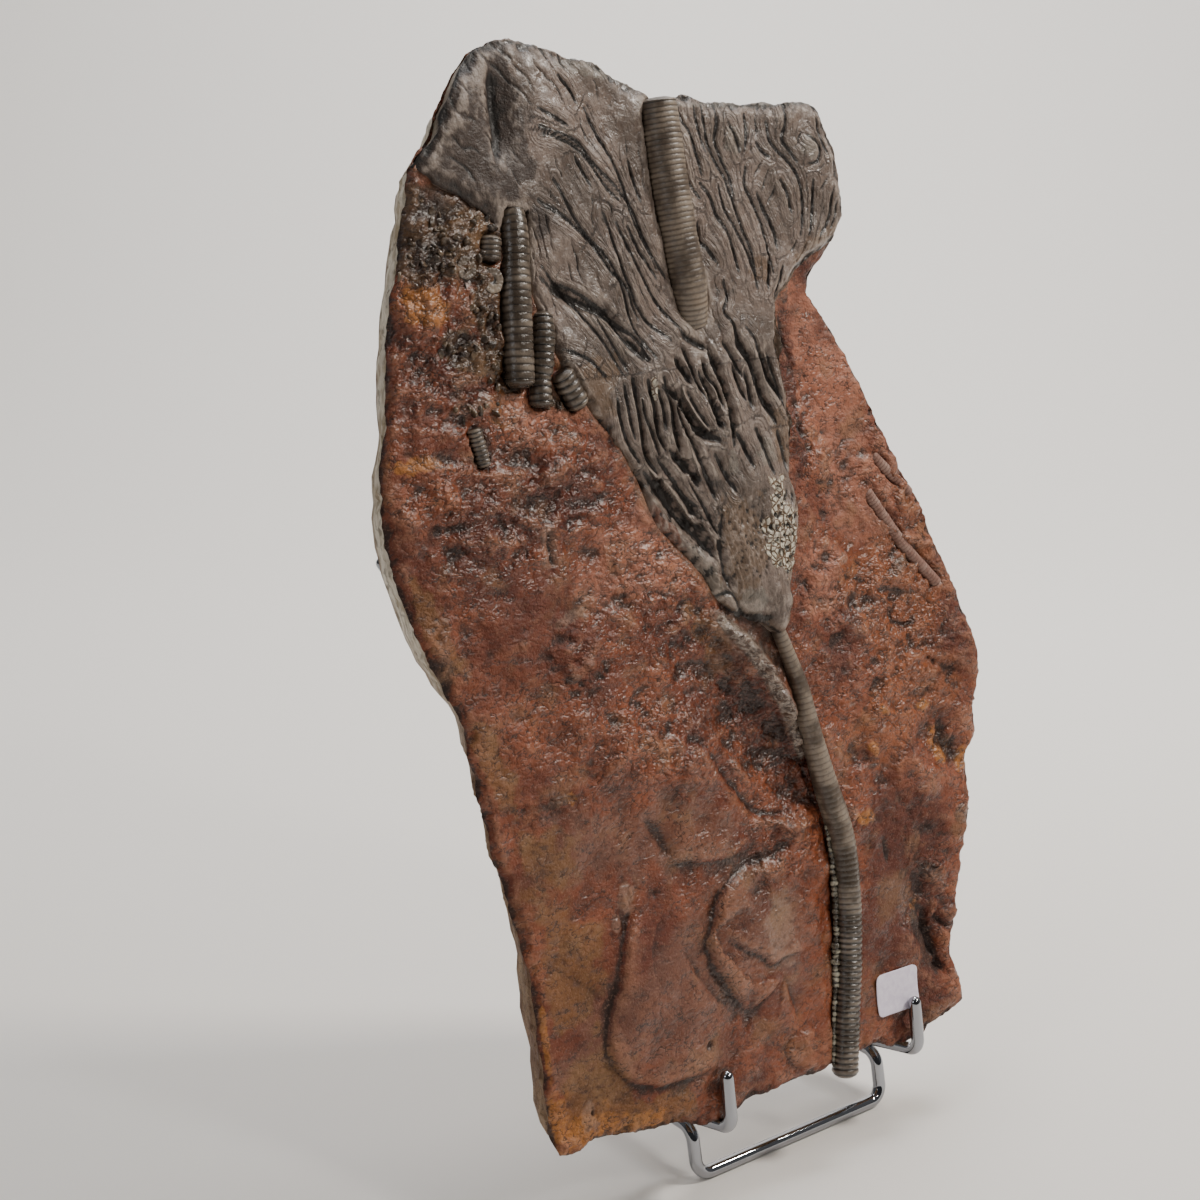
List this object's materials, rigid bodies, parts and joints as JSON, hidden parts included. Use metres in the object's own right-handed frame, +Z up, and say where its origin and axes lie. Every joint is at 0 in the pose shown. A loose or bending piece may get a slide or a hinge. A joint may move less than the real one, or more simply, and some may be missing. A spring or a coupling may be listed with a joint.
{
  "type": "crinoid fossil",
  "caption": "Crinoid fossil in relief on a flat red stone slab that leans back on a bent chrome wire stand with front hooks.",
  "frame": {"origin": "on the table, under the middle of the object's bounding box", "axes": "+X to the right as seen from the front, -Y out of the fossil's face, +Z up"},
  "size_m": [0.2634, 0.1107, 0.4068],
  "materials": {
    "red_stone": "fine-grained red-brown mudstone, partly varnished",
    "dark_fossil": "dark grey fossil stone under a glossy varnish",
    "stem_fossil": "olive-grey ringed fossil stone, varnished",
    "label_paper": "matte white paper",
    "chrome_wire": "polished"
  },
  "bodies": {
    "root": {"matrix_slab": "red_stone", "crown": "dark_fossil", "main_stem": "stem_fossil", "upper_column": "stem_fossil", "left_column": "stem_fossil", "short_column_1": "stem_fossil", "short_column_2": "stem_fossil", "short_column_3": "stem_fossil", "small_fragment": "stem_fossil", "columnal_ring_1": "stem_fossil", "columnal_ring_2": "stem_fossil", "thin_column_1": "stem_fossil", "thin_column_2": "stem_fossil", "label": "label_paper", "stand_base": "chrome_wire", "stand_side_left": "chrome_wire", "stand_side_right": "chrome_wire"}
  },
  "joints": []
}
